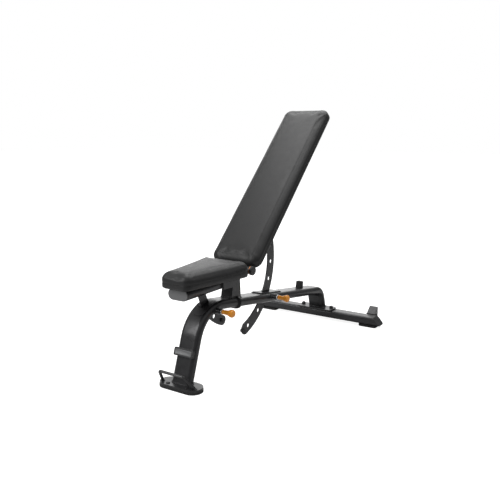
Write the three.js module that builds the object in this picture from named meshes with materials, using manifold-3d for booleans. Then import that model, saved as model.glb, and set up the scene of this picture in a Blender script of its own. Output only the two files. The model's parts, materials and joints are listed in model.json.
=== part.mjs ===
// Adjustable weight bench. A flat-oval tube bends up from a front foot, over under the seat and down
// to a wide rear stabiliser. Seat and back turn on one axle above it. Each carries a drilled arc,
// concentric with the axle, that passes through the tube and is held there by a sprung pop-pin.
// Millimetres, +Z up, +Y towards the head of the bench, +X to the side that has the pop-pins.
// "Floor frame" below means y = 0 at the middle of the front foot and z = 0 on the floor.
import * as THREE from "three";
import { mergeVertices } from "three/addons/utils/BufferGeometryUtils.js";
import Module from "manifold-3d";

const wasm = await Module();
wasm.setup();

// ---- Clearances -------------------------------------------------------------------------------
const GAP = 0.3; // between pieces that touch
const RUN = 0.35; // radial, round a shaft or bolt
const SLOT_SIDE = 2; // each side of an arc plate where it passes through the tube
const SLOT_EDGE = 5; // beyond the inner and outer edges of an arc plate

// ---- Frame tube and its route in the side view, floor frame -----------------------------------
const TUBE_WIDTH = 100;
const TUBE_HEIGHT = 42;
const TUBE_WALL = 3;
const CREST_Y = 115; // where the straight leg and the straight spine would meet
const CREST_Z = 327;
const CREST_RADIUS = 160;
const LEG_LEAN = 18.9; // degrees back from the vertical
const SPINE_SLOPE = 8.22; // degrees down towards the back
const REAR_CORNER_Y = 1199;
const REAR_RADIUS = 70;
const REAR_LEAN = 17; // degrees back from the vertical, going down
const COLLAR_Y = 365;
const COLLAR_LENGTH = 12;
const COLLAR_LIP = 8;

// ---- Front foot and lift handle ---------------------------------------------------------------
const FOOT_WIDTH = 213;
const FOOT_DEPTH = 88;
const FOOT_RUBBER = 12;
const FOOT_PLATE = 8;
const FOOT_SCREW_X = 50;
const FOOT_SCREW_Y = -26;
const FOOT_SCREW_RISE = 5;
const HANDLE_BAR = 13;
const HANDLE_BASE_X = 86;
const HANDLE_BASE_Y = -16;
const HANDLE_TOP_X = 64;
const HANDLE_REACH = 45.5; // forward of its base
const HANDLE_RISE = 62; // above the foot plate
const HANDLE_BEND = 14;
const BADGE_Z = 139;
const BADGE_WIDTH = 100;
const BADGE_HEIGHT = 35; // along the leg
const BADGE_DEPTH = 14.7;
const BADGE_CORNER = 6;

// ---- Pivot ------------------------------------------------------------------------------------
const PIVOT_Y = 376;
const PIVOT_Z = 446;
const AXLE_RADIUS = 10;
const SLEEVE_RADIUS = 20;
const SLEEVE_HALF = 48;
const TOWER_WIDTH = 60;
const TOWER_WALL = 5;
const TOWER_BASE_FRONT = 323;
const TOWER_BASE_REAR = 402;
const TOWER_TOP_FRONT = 350;
const TOWER_TOP_REAR = 390;
const LUG_THICKNESS = 8;
const LUG_BOSS = 19;
const ARM_THICKNESS = 10;
const ARM_SPACING = 62; // inner face of a back hinge arm from the middle plane
const HUB_RADIUS = 17;
const HUB_END = 100;
const BUSH_WALL = 2.6;
const BUSH_FLANGE = 2.7;
const BUSH_FLANGE_RADIUS = 20.5;
const AXLE_CAP_LENGTH = 13;
const AXLE_CAP_RADIUS = 21;

// ---- Arcs, measured from the pivot; angles in degrees from +Y, negative below it --------------
const BACK_REST = 45; // back angle in the rest pose
const BACK_STOPS = [0, 15, 30, 45, 60, 78];
const BACK_ARC_RADIUS = 331;
const BACK_ARC_WIDTH = 60;
const BACK_ARC_END = -72; // lower end in the rest pose
const BACK_STOP_ANGLE = -75.5;
const BACK_PIN_ANGLE = -34.5;
const SEAT_STOPS = [0, 15];
const SEAT_ARC_RADIUS = 240.5;
const SEAT_ARC_WIDTH = 47;
const SEAT_ARC_END = -110;
const SEAT_STOP_ANGLE = -112.6;
const SEAT_PIN_ANGLE = -142;
const ARC_THICKNESS = 6;
const ARC_HOLE_RADIUS = 10;
const STOP_SHANK = 5;
const STOP_HEAD = 9;
const STOP_HEAD_LENGTH = 7;

// ---- Guide plates -----------------------------------------------------------------------------
const BACK_GUIDE_FROM = 580;
const BACK_GUIDE_TO = 753;
const BACK_GUIDE_WIDTH = 62;
const BACK_GUIDE_THICKNESS = 6;
const SEAT_GUIDE_FROM = 90; // degrees round the crest bend, from +Y
const SEAT_GUIDE_TO = 130;
const SEAT_GUIDE_WIDTH = 70;
const SEAT_GUIDE_THICKNESS = 3;
const SEAT_GUIDE_CORNER = 30;

// ---- Seat, measured from the pivot ------------------------------------------------------------
const SEAT_REAR = -40;
const SEAT_LENGTH = 374;
const SEAT_FRONT_WIDTH = 136;
const SEAT_REAR_WIDTH = 256;
const SEAT_THICKNESS = 70;
const SEAT_UNDERSIDE = -16;
const SEAT_CORNER = 26;
const SEAT_BEVEL = 20;
const SEAT_BEVEL_DEPTH = 24;
const SEAT_TUBE_WIDTH = 101;
const SEAT_TUBE_HEIGHT = 48;
const SEAT_TUBE_FRONT = -382;
const SEAT_TUBE_REAR = -86;
const SEAT_TUBE_DROP = 2; // from the pad's underside to the top of the tube
const LUG_FRONT = -150;

// ---- Back, in its own frame: y up along the pad, z out of its face ----------------------------
const BACK_START = 20;
const BACK_LENGTH = 985;
const BACK_WIDTH = 262;
const BACK_THICKNESS = 60;
const BACK_UNDERSIDE = -20;
const BACK_CORNER = 45;
const BACK_BEVEL = 33;
const BACK_BEVEL_DEPTH = 22;
const BACK_TUBE_START = 62;
const BACK_TUBE_END = 890;
const BACK_TUBE_WIDTH = 100;
const BACK_TUBE_HEIGHT = 48;
const BACK_TUBE_DROP = 4;
const ARM_END = 160;
const CAP_THICKNESS = 5;
const BOARD_THICKNESS = 12;
const BOARD_INSET = 8;

// ---- Pop-pins, along +X from the middle plane -------------------------------------------------
const PIN_TIP = ARC_THICKNESS / 2 + 1;
const PIN_RADIUS = 8;
const PIN_STEM = 4;
const PIN_SHOULDER = 9;
const PIN_SHOULDER_AT = 50;
const PIN_SHOULDER_LENGTH = 3;
const PIN_TRAVEL = 12;
const HOUSING_RADIUS = 14;
const HOUSING_END = 75;
const COLLAR_NUT_RADIUS = 12;
const COLLAR_NUT_LENGTH = 6.5;
const KNOB_LENGTH = 60;
const KNOB_NECK = 10;
const KNOB_HEAD = 17.5;
const SPRING_WIRE = 0.6;
const SPRING_TURNS = 4;

// ---- Rear stabiliser and transport wheels, floor frame ----------------------------------------
const STAB_FRONT = 1195;
const STAB_DEPTH = 72;
const STAB_UNDERSIDE = 14;
const STAB_HEIGHT = 44;
const STAB_CORNER = 14;
const STAB_WALL = 3;
const STAB_HALF = 344;
const STAB_CAP_TOP = 12; // length of the end cap along its top edge
const STAB_CAP_EDGE = 2; // width of the rounded edge round its face
const STAB_CAP_SPLAY = 36; // how much further out its bottom edge is
const REAR_FOOT_OUTER = STAB_HALF + 24;
const REAR_FOOT_INNER = REAR_FOOT_OUTER - 101;
const REAR_FOOT_DEPTH = 60;
const MOUNT_HALF = 107;
const MOUNT_FRONT = 1181;
const MOUNT_DEPTH = 82;
const MOUNT_THICKNESS = 8;
const MOUNT_BOLT_X = 89;
const MOUNT_BOLT_Y = 1229;
const BOLT_DOME = 11;
const BOLT_RISE = 14;
const BUMPER_Y = 1005;
const BUMPER_WIDTH = 32;
const BUMPER_LENGTH = 34;
const BUMPER_HEIGHT = 38;
const BRACKET_INNER = STAB_HALF - 54;
const BRACKET_WIDTH = 44;
const BRACKET_WALL = 3;
const BRACKET_TOP = 92;
const BRACKET_REAR = 1321;
const WHEEL_Y = 1300;
const WHEEL_Z = 44;
const WHEEL_RADIUS = 28;
const WHEEL_SIDE_GAP = 3;
const WHEEL_AXLE_RADIUS = 5;

// ---- Fineness ---------------------------------------------------------------------------------
const SECTION_STEPS = 4; // half the number of chords in each round end of a tube section
const BEND_STEPS = 12;
const ROUND = 24; // chords in a round that turns on a shaft
const COARSE = 16; // chords in a small round

const SIDES = { left: -1, right: 1 };
const rad = THREE.MathUtils.degToRad;

// ---- Materials --------------------------------------------------------------------------------
const paint = (color, roughness, metalness) => () =>
  new THREE.MeshStandardMaterial({ color, roughness, metalness });
const framePaint = paint(0x2b2c2f, 0.42, 0.55);
const blackPaint = paint(0x18191b, 0.5, 0.4);
const vinyl = paint(0x161616, 0.55, 0);
const plywood = paint(0x1c1b1a, 0.85, 0);
const rubber = paint(0x0f0f10, 0.85, 0);
const greyPlastic = paint(0x8d8f92, 0.5, 0);
const blackPlastic = paint(0x1a1a1c, 0.6, 0);
const steel = paint(0xb8bbc0, 0.3, 0.95);
const bronze = paint(0xb07a55, 0.35, 0.9);
const orange = paint(0xe8922c, 0.45, 0);

function mesh(name, geometry, material) {
  const made = new THREE.Mesh(geometry, material());
  made.name = name;
  return made;
}

// ---- Solids -----------------------------------------------------------------------------------
function solidFrom(geometry) {
  const bare = geometry.clone();
  bare.deleteAttribute("normal");
  bare.deleteAttribute("uv");
  const merged = mergeVertices(bare, 1e-4);
  const vertProperties = merged.attributes.position.array;
  const triVerts = new Uint32Array(merged.index.array);
  return new wasm.Manifold(new wasm.Mesh({ numProp: 3, vertProperties, triVerts }));
}

function geometryFrom(solid) {
  const { vertProperties, triVerts } = solid.getMesh();
  const geometry = new THREE.BufferGeometry();
  geometry.setAttribute("position", new THREE.BufferAttribute(vertProperties, 3));
  geometry.setIndex(new THREE.BufferAttribute(triVerts, 1));
  const faceted = geometry.toNonIndexed();
  faceted.computeVertexNormals();
  return faceted;
}

function combine(first, others, operation) {
  let solid = solidFrom(first);
  for (const other of others) solid = solid[operation](solidFrom(other));
  return geometryFrom(solid);
}
const cut = (geometry, ...tools) => combine(geometry, tools, "subtract");
const join = (geometry, ...others) => combine(geometry, others, "add");
const common = (geometry, ...others) => combine(geometry, others, "intersect");

// The same form on the other side of the middle plane.
const mirrored = (geometry) => geometryFrom(solidFrom(geometry).mirror([1, 0, 0]));

// ---- Outlines ---------------------------------------------------------------------------------
function racetrack(width, height, outline = new THREE.Shape(), centre = 0) {
  const radius = height / 2;
  const half = width / 2 - radius;
  outline.absarc(half, centre, radius, -Math.PI / 2, Math.PI / 2, false);
  outline.absarc(-half, centre, radius, Math.PI / 2, 1.5 * Math.PI, false);
  return outline.closePath();
}

function roundedBox(width, height, corner, outline = new THREE.Shape()) {
  const x = width / 2 - corner;
  const y = height / 2 - corner;
  outline.absarc(x, -y, corner, -Math.PI / 2, 0, false);
  outline.absarc(x, y, corner, 0, Math.PI / 2, false);
  outline.absarc(-x, y, corner, Math.PI / 2, Math.PI, false);
  outline.absarc(-x, -y, corner, Math.PI, 1.5 * Math.PI, false);
  return outline.closePath();
}

function hollow(section, inside) {
  section.holes.push(inside);
  return section;
}

function tubeSection(width, height, wall) {
  return hollow(racetrack(width, height), racetrack(width - 2 * wall, height - 2 * wall, new THREE.Path()));
}

const circle = (y, z, radius) => new THREE.Path().absarc(y, z, radius, 0, 2 * Math.PI, false);

function polygon(points) {
  return new THREE.Shape(points.map(([y, z]) => new THREE.Vector2(y, z)));
}

// A convex outline with rounded corners, moved in by inset about the same corner centres.
function padOutline(corners, radius, inset) {
  const at = (i) => corners[(i + corners.length) % corners.length];
  return corners.flatMap((corner, i) => {
    const before = corner.clone().sub(at(i - 1)).normalize();
    const after = at(i + 1).clone().sub(corner).normalize();
    const from = new THREE.Vector2(before.y, -before.x).angle();
    const turn = Math.acos(before.dot(after));
    const bisector = after.clone().sub(before).normalize();
    const centre = corner.clone().addScaledVector(bisector, radius / Math.cos(turn / 2));
    return Array.from({ length: COARSE / 4 + 1 }, (_, k) => {
      const angle = from + (turn * k) / (COARSE / 4);
      const arm = new THREE.Vector2(Math.cos(angle), Math.sin(angle));
      return centre.clone().addScaledVector(arm, radius - inset);
    });
  });
}

// ---- Swept and turned forms -------------------------------------------------------------------
// A route of straights and arcs, with one station at each end of a straight and several round each arc.
class Route extends THREE.Curve {
  constructor(stations) {
    super();
    this.stations = stations;
    this.steps = stations.length - 1;
  }
  getPointAt(u, target = new THREE.Vector3()) {
    return target.copy(this.stations[Math.round(u * this.steps)].point);
  }
  getTangentAt(u, target = new THREE.Vector3()) {
    return target.copy(this.stations[Math.round(u * this.steps)].tangent);
  }
  // A route in a plane x = constant keeps its section level across that plane.
  computeFrenetFrames(segments, closed) {
    const tangents = this.stations.map((station) => station.tangent);
    if (tangents.some((tangent) => tangent.x !== 0)) return super.computeFrenetFrames(segments, closed);
    const normals = tangents.map(() => new THREE.Vector3(-1, 0, 0));
    const binormals = tangents.map((tangent, i) => tangent.clone().cross(normals[i]));
    return { tangents, normals, binormals };
  }
}

function bentRoute(corners, radius, steps = BEND_STEPS) {
  const heading = (i) => corners[i + 1].clone().sub(corners[i]).normalize();
  const stations = [{ point: corners[0], tangent: heading(0) }];
  for (let i = 1; i < corners.length - 1; i++) {
    const before = heading(i - 1);
    const after = heading(i);
    const turn = before.angleTo(after);
    const bend = Array.isArray(radius) ? radius[i - 1] : radius;
    const start = corners[i].clone().addScaledVector(before, -bend * Math.tan(turn / 2));
    const inward = after.clone().addScaledVector(before, -before.dot(after)).normalize();
    for (let k = 0; k <= steps; k++) {
      const angle = (turn * k) / steps;
      const point = start.clone().addScaledVector(before, bend * Math.sin(angle));
      point.addScaledVector(inward, bend * (1 - Math.cos(angle)));
      const tangent = before.clone().multiplyScalar(Math.cos(angle));
      tangent.addScaledVector(inward, Math.sin(angle));
      stations.push({ point, tangent });
    }
  }
  stations.push({ point: corners.at(-1), tangent: heading(corners.length - 2) });
  return new Route(stations);
}

// On a route in a plane x = constant, the section's x runs across the plane and its y out of the bend.
function sweep(section, route) {
  const options = { extrudePath: route, steps: route.steps, curveSegments: SECTION_STEPS };
  return new THREE.ExtrudeGeometry(section, options);
}

const side = (y, z, x = 0) => new THREE.Vector3(x, y, z);

// A plate cut from an outline drawn in (y, z), from x to x + depth.
function plate(outline, x, depth, curveSegments = SECTION_STEPS) {
  const geometry = new THREE.ExtrudeGeometry(outline, { depth, bevelEnabled: false, curveSegments });
  geometry.translate(0, 0, x);
  const turned = new THREE.Matrix4();
  turned.makeBasis(side(1, 0), side(0, 1), side(0, 0, 1));
  return geometry.applyMatrix4(turned);
}

// A plate cut from an outline drawn in (x, y), from z upwards.
function slab(outline, z, depth, curveSegments = SECTION_STEPS) {
  const geometry = new THREE.ExtrudeGeometry(outline, { depth, bevelEnabled: false, curveSegments });
  return geometry.translate(0, 0, z);
}

// A turned form about an axis along x, from a profile of [radius, x] that starts and ends on the axis.
function turned(profile, y, z, chords = COARSE) {
  const points = profile.map(([radius, x]) => new THREE.Vector2(radius, x));
  return new THREE.LatheGeometry(points, chords).rotateZ(-Math.PI / 2).translate(0, y, z);
}

// A turned ring about an axis along x, from a closed profile of [radius, x].
const ring = (profile, y, z, chords) => turned([...profile, profile[0]], y, z, chords);

function rod(radius, from, to, y, z, chords = COARSE) {
  const cylinder = new THREE.CylinderGeometry(radius, radius, to - from, chords);
  return cylinder.rotateZ(Math.PI / 2).translate((from + to) / 2, y, z);
}

function block(from, to) {
  const size = to.clone().sub(from);
  const middle = from.clone().add(to).multiplyScalar(0.5);
  return new THREE.BoxGeometry(size.x, size.y, size.z).translate(middle.x, middle.y, middle.z);
}

// A closed skin over rings of equally many points, each ring anticlockwise seen from the last one.
function loft(rings) {
  const count = rings[0].length;
  const last = (rings.length - 1) * count;
  const index = [];
  for (let k = 0; k < rings.length - 1; k++) {
    for (let i = 0; i < count; i++) {
      const a = k * count + i;
      const b = k * count + ((i + 1) % count);
      index.push(a, b, b + count, a, b + count, a + count);
    }
  }
  for (let i = 1; i < count - 1; i++) {
    index.push(0, i + 1, i);
    index.push(last, last + i, last + i + 1);
  }
  const geometry = new THREE.BufferGeometry().setFromPoints(rings.flat()).setIndex(index);
  geometry.computeVertexNormals();
  return geometry;
}

const level = (outline, z) => outline.map((point) => new THREE.Vector3(point.x, point.y, z));

// ---- Places on the frame ----------------------------------------------------------------------
const legHeading = side(Math.sin(rad(LEG_LEAN)), Math.cos(rad(LEG_LEAN)));
const spineHeading = side(Math.cos(rad(SPINE_SLOPE)), -Math.sin(rad(SPINE_SLOPE)));
const spineNormal = side(Math.sin(rad(SPINE_SLOPE)), Math.cos(rad(SPINE_SLOPE)));
const rearHeading = side(Math.sin(rad(REAR_LEAN)), -Math.cos(rad(REAR_LEAN)));
const crest = side(CREST_Y, CREST_Z);
const spineAt = (y) => crest.clone().addScaledVector(spineHeading, (y - CREST_Y) / spineHeading.y);
const rearCorner = spineAt(REAR_CORNER_Y);
const spineTop = (y, above = 0) => spineAt(y).addScaledVector(spineNormal, TUBE_HEIGHT / 2 + GAP + above);
const footTop = FOOT_RUBBER + GAP + FOOT_PLATE;
const stabTop = STAB_UNDERSIDE + STAB_HEIGHT;
const mountTop = stabTop + GAP + MOUNT_THICKNESS;
const onArc = (radius, degrees) => side(radius * Math.cos(rad(degrees)), radius * Math.sin(rad(degrees)));
const pivot = side(PIVOT_Y, PIVOT_Z);
const backPin = onArc(BACK_ARC_RADIUS, BACK_PIN_ANGLE).add(pivot);
const seatPin = onArc(SEAT_ARC_RADIUS, SEAT_PIN_ANGLE).add(pivot);
const collarFront = spineAt(COLLAR_Y).addScaledVector(spineHeading, -COLLAR_LENGTH / 2);
const collarRear = spineAt(COLLAR_Y).addScaledVector(spineHeading, COLLAR_LENGTH / 2);

// The middle of the crest bend, from which the seat guide plate is drawn.
const crestTurn = legHeading.angleTo(spineHeading);
const crestStart = crest.clone().addScaledVector(legHeading, -CREST_RADIUS * Math.tan(crestTurn / 2));
const crestInward = side(legHeading.z, -legHeading.y);
const crestCentre = crestStart.clone().addScaledVector(crestInward, CREST_RADIUS);

function tubeRoute() {
  const footDrop = (crest.z - footTop) / legHeading.z + TUBE_HEIGHT;
  const rearDrop = (rearCorner.z - mountTop) / -rearHeading.z + TUBE_HEIGHT;
  const foot = crest.clone().addScaledVector(legHeading, -footDrop);
  const rear = rearCorner.clone().addScaledVector(rearHeading, rearDrop);
  return { foot, rear };
}

function legRoute(end) {
  return bentRoute([tubeRoute().foot, crest, end], CREST_RADIUS);
}

function spineRoute(start) {
  return bentRoute([start, rearCorner, tubeRoute().rear], REAR_RADIUS);
}

const grownSection = () => racetrack(TUBE_WIDTH + 2 * GAP, TUBE_HEIGHT + 2 * GAP);
const grownTube = () => sweep(grownSection(), legRoute(spineAt(REAR_CORNER_Y - REAR_RADIUS)));
const below = (z) => block(new THREE.Vector3(-500, -500, z - 500), new THREE.Vector3(500, 2000, z));

// The space that an arc plate sweeps through the frame, with its clearances.
function arcSweep(radius, width, from, to) {
  const reach = width / 2 + SLOT_EDGE;
  const outline = new THREE.Shape();
  outline.absarc(PIVOT_Y, PIVOT_Z, radius + reach, rad(from), rad(to), false);
  outline.absarc(PIVOT_Y, PIVOT_Z, radius - reach, rad(to), rad(from), true);
  const half = ARC_THICKNESS / 2 + SLOT_SIDE;
  return plate(outline.closePath(), -half, 2 * half, COARSE);
}
const sweepRound = (radius, width, pin, reach) => arcSweep(radius, width, pin - reach, pin + reach);
const backArcSweep = () => sweepRound(BACK_ARC_RADIUS, BACK_ARC_WIDTH, BACK_PIN_ANGLE, 20);
const seatArcSweep = () => sweepRound(SEAT_ARC_RADIUS, SEAT_ARC_WIDTH, SEAT_PIN_ANGLE, 26);

// ---- Frame ------------------------------------------------------------------------------------
function frontLegTube() {
  const end = collarFront.clone().addScaledVector(spineHeading, -GAP);
  const tube = sweep(tubeSection(TUBE_WIDTH, TUBE_HEIGHT, TUBE_WALL), legRoute(end));
  const pinHole = rod(PIN_SHOULDER + RUN, 0, TUBE_WIDTH, seatPin.y, seatPin.z);
  return mesh("front_leg_tube", cut(tube, below(footTop + GAP), seatArcSweep(), pinHole), framePaint);
}

function spineTube() {
  const start = collarRear.clone().addScaledVector(spineHeading, GAP);
  const tube = sweep(tubeSection(TUBE_WIDTH, TUBE_HEIGHT, TUBE_WALL), spineRoute(start));
  const pinHole = rod(PIN_SHOULDER + RUN, 0, TUBE_WIDTH, backPin.y, backPin.z);
  return mesh("spine_tube", cut(tube, below(mountTop + GAP), backArcSweep(), pinHole), framePaint);
}

function collarSolid(grow) {
  const section = racetrack(TUBE_WIDTH + 2 * (COLLAR_LIP + grow), TUBE_HEIGHT + 2 * (COLLAR_LIP + grow));
  const from = collarFront.clone().addScaledVector(spineHeading, -grow);
  const to = collarRear.clone().addScaledVector(spineHeading, grow);
  return sweep(section, bentRoute([from, to], 0));
}

function frameCollar() {
  return mesh("frame_collar", collarSolid(0), framePaint);
}

function pivotTower() {
  const seatZ = (y) => spineAt(y).z;
  const outline = (inset, extra) =>
    polygon([
      [TOWER_BASE_FRONT + inset, seatZ(TOWER_BASE_FRONT) - extra],
      [TOWER_BASE_REAR - inset, seatZ(TOWER_BASE_REAR) - extra],
      [TOWER_TOP_REAR - inset, PIVOT_Z - inset],
      [TOWER_TOP_FRONT + inset, PIVOT_Z - inset],
    ]);
  const half = TOWER_WIDTH / 2;
  const upright = plate(outline(0, 0), -half, TOWER_WIDTH);
  const inside = plate(outline(TOWER_WALL, TUBE_HEIGHT), -half + TOWER_WALL, TOWER_WIDTH - 2 * TOWER_WALL);
  const sleeve = rod(SLEEVE_RADIUS, -SLEEVE_HALF, SLEEVE_HALF, PIVOT_Y, PIVOT_Z, ROUND);
  const bore = rod(AXLE_RADIUS + RUN, -HUB_END, HUB_END, PIVOT_Y, PIVOT_Z, ROUND);
  const body = cut(join(cut(upright, inside), sleeve), bore, grownTube(), collarSolid(GAP));
  return mesh("pivot_tower", body, framePaint);
}

// Holes for a pair of bolts that stand upright, one each side of the middle plane.
function boltHoles(from, to, x, y) {
  return Object.values(SIDES).map((s) => {
    const cylinder = new THREE.CylinderGeometry(STOP_SHANK + RUN, STOP_SHANK + RUN, to - from, COARSE);
    return cylinder.rotateX(Math.PI / 2).translate(s * x, y, (from + to) / 2);
  });
}

function frontFoot() {
  const outline = (inset) => racetrack(FOOT_WIDTH - 2 * inset, FOOT_DEPTH - 2 * inset);
  const pad = mesh("front_foot_pad", slab(outline(0), 0, FOOT_RUBBER, COARSE / 2), rubber);
  const holes = boltHoles(0, footTop + 1, FOOT_SCREW_X, FOOT_SCREW_Y);
  const top = cut(slab(outline(1), FOOT_RUBBER + GAP, FOOT_PLATE, COARSE / 2), ...holes);
  return [pad, mesh("front_foot_plate", top, framePaint)];
}

// A dome-headed screw standing on a face at the height of a point, with a shank below it.
function domeScrew(head, rise, depth, at) {
  const skirt = rise / 3;
  const profile = [[0, -depth], [STOP_SHANK, -depth], [STOP_SHANK, GAP], [head, GAP], [head, skirt]];
  for (const angle of [30, 60]) {
    profile.push([head * Math.cos(rad(angle)), skirt + (rise - skirt) * Math.sin(rad(angle))]);
  }
  const points = [...profile, [0, rise]].map(([radius, up]) => new THREE.Vector2(radius, up));
  return new THREE.LatheGeometry(points, COARSE).rotateX(Math.PI / 2).translate(at.x, at.y, at.z);
}

function frontFootScrews() {
  return Object.entries(SIDES).map(([name, s]) => {
    const at = new THREE.Vector3(s * FOOT_SCREW_X, FOOT_SCREW_Y, footTop);
    const screw = domeScrew(STOP_HEAD, FOOT_SCREW_RISE, FOOT_PLATE - GAP, at);
    return mesh(`front_foot_screw_${name}`, screw, blackPaint);
  });
}

function liftHandle() {
  const top = side(HANDLE_BASE_Y - HANDLE_REACH, footTop + HANDLE_RISE);
  const corner = (s) => side(top.y, top.z, s * HANDLE_TOP_X);
  const base = (s) => {
    const at = new THREE.Vector3(s * HANDLE_BASE_X, HANDLE_BASE_Y, footTop);
    return at.add(at.clone().sub(corner(s)).normalize().multiplyScalar(HANDLE_BAR));
  };
  const route = bentRoute([base(-1), corner(-1), corner(1), base(1)], HANDLE_BEND, BEND_STEPS / 2);
  const section = new THREE.Shape();
  section.absarc(0, 0, HANDLE_BAR / 2, 0, 2 * Math.PI, false);
  return mesh("lift_handle", cut(sweep(section, route), below(footTop + GAP)), framePaint);
}

// A blank plate standing on the front face of the leg.
function badgeBand() {
  const outline = roundedBox(BADGE_WIDTH, BADGE_HEIGHT, BADGE_CORNER);
  const standing = slab(outline, TUBE_HEIGHT / 2 + GAP, BADGE_DEPTH).rotateX(rad(90 - LEG_LEAN));
  const middle = crest.clone().addScaledVector(legHeading, (BADGE_Z - CREST_Z) / legHeading.z);
  return mesh("badge_band", standing.translate(0, middle.y, middle.z), blackPlastic);
}

function seatGuidePlate() {
  const radius = CREST_RADIUS + TUBE_HEIGHT / 2 + GAP;
  const outline = new THREE.Shape();
  const outer = radius + SEAT_GUIDE_THICKNESS;
  outline.absarc(crestCentre.y, crestCentre.z, outer, rad(SEAT_GUIDE_FROM), rad(SEAT_GUIDE_TO), false);
  outline.absarc(crestCentre.y, crestCentre.z, radius, rad(SEAT_GUIDE_TO), rad(SEAT_GUIDE_FROM), true);
  const curved = plate(outline.closePath(), -SEAT_GUIDE_WIDTH / 2, SEAT_GUIDE_WIDTH, BEND_STEPS / 2);
  const middle = (SEAT_GUIDE_FROM + SEAT_GUIDE_TO) / 2;
  const chord = 2 * outer * Math.sin(rad(SEAT_GUIDE_TO - SEAT_GUIDE_FROM) / 2);
  const rounded = slab(roundedBox(SEAT_GUIDE_WIDTH, chord, SEAT_GUIDE_CORNER), 0, 2 * outer, COARSE / 4);
  rounded.rotateX(rad(middle - 90)).translate(0, crestCentre.y, crestCentre.z);
  return mesh("seat_guide_plate", cut(common(curved, rounded), seatArcSweep()), framePaint);
}

function onSpine(geometry, y) {
  const at = spineTop(y);
  return geometry.rotateX(-rad(SPINE_SLOPE)).translate(at.x, at.y, at.z);
}

function backGuidePlate() {
  const middle = (BACK_GUIDE_FROM + BACK_GUIDE_TO) / 2;
  const length = (BACK_GUIDE_TO - BACK_GUIDE_FROM) / spineHeading.y;
  const flat = slab(roundedBox(BACK_GUIDE_WIDTH, length, BACK_GUIDE_THICKNESS), 0, BACK_GUIDE_THICKNESS, 2);
  return mesh("back_guide_plate", cut(onSpine(flat, middle), backArcSweep()), framePaint);
}

function backBumper() {
  const outline = (inset) => roundedBox(BUMPER_WIDTH - 2 * inset, BUMPER_LENGTH - 2 * inset, 5).getPoints(3);
  const edge = 3;
  const levels = [[0, 0], [1, BUMPER_HEIGHT - edge], [1 + edge, BUMPER_HEIGHT]];
  const rings = levels.map(([inset, z]) => level(outline(inset).slice(0, -1), z));
  return mesh("back_bumper", onSpine(loft(rings), BUMPER_Y), rubber);
}

// ---- Axle -------------------------------------------------------------------------------------
const capStart = HUB_END + GAP + BUSH_FLANGE + GAP;

function pivotAxle() {
  return mesh("pivot_axle", rod(AXLE_RADIUS, -capStart, capStart, PIVOT_Y, PIVOT_Z, ROUND), steel);
}

function axleCaps() {
  return Object.entries(SIDES).map(([name, s]) => {
    const start = capStart + GAP;
    const edge = 3;
    const end = start + AXLE_CAP_LENGTH;
    const profile = [[0, start], [AXLE_CAP_RADIUS, start], [AXLE_CAP_RADIUS, end - edge]];
    profile.push([AXLE_CAP_RADIUS - edge, end], [0, end]);
    const cap = turned(profile, PIVOT_Y, PIVOT_Z, ROUND);
    if (s < 0) cap.rotateZ(Math.PI).translate(0, 2 * PIVOT_Y, 0);
    return mesh(`axle_cap_${name}`, cap, blackPlastic);
  });
}

// ---- Pop-pins ---------------------------------------------------------------------------------
function pinHousing(name, at) {
  const bore = PIN_SHOULDER + RUN;
  const start = TUBE_WIDTH / 2 - TUBE_HEIGHT / 4;
  const profile = [[bore, start], [HOUSING_RADIUS, start], [HOUSING_RADIUS, HOUSING_END]];
  const sleeve = ring([...profile, [bore, HOUSING_END]], at.y, at.z);
  return mesh(`${name}_pin_housing`, cut(sleeve, grownTube()), framePaint);
}

function pinCollar(name, at) {
  const start = HOUSING_END + GAP;
  const end = start + COLLAR_NUT_LENGTH;
  const bore = PIN_STEM + RUN;
  const profile = [[bore, start], [COLLAR_NUT_RADIUS, start], [COLLAR_NUT_RADIUS, end - 1]];
  profile.push([COLLAR_NUT_RADIUS - 1, end], [bore, end]);
  return mesh(`${name}_pin_collar`, ring(profile, at.y, at.z), steel);
}

const knobStart = HOUSING_END + GAP + COLLAR_NUT_LENGTH + GAP;

function pinPlunger(name, at) {
  const shoulder = PIN_SHOULDER_AT + PIN_SHOULDER_LENGTH;
  const tip = 1.5;
  const stemEnd = knobStart + KNOB_LENGTH / 3;
  const profile = [[0, PIN_TIP], [PIN_RADIUS - tip, PIN_TIP], [PIN_RADIUS, PIN_TIP + tip]];
  profile.push([PIN_RADIUS, PIN_SHOULDER_AT], [PIN_SHOULDER, PIN_SHOULDER_AT], [PIN_SHOULDER, shoulder]);
  profile.push([PIN_STEM, shoulder], [PIN_STEM, stemEnd], [0, stemEnd]);
  return mesh(`${name}_pin_plunger`, turned(profile, at.y, at.z), steel);
}

function pinKnob(name, at) {
  const socket = PIN_STEM + GAP;
  const along = (share) => knobStart + KNOB_LENGTH * share;
  const profile = [[0, along(0.36)], [socket, along(0.36)], [socket, knobStart], [KNOB_NECK, knobStart]];
  profile.push([KNOB_NECK, along(0.3)], [KNOB_NECK * 1.1, along(0.45)], [KNOB_HEAD * 0.88, along(0.66)]);
  profile.push([KNOB_HEAD, along(0.78)], [KNOB_HEAD * 0.97, along(0.88)], [KNOB_HEAD * 0.75, along(0.96)]);
  profile.push([KNOB_HEAD * 0.4, along(1)], [0, along(1)]);
  return mesh(`${name}_pin_knob`, turned(profile, at.y, at.z), orange);
}

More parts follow.
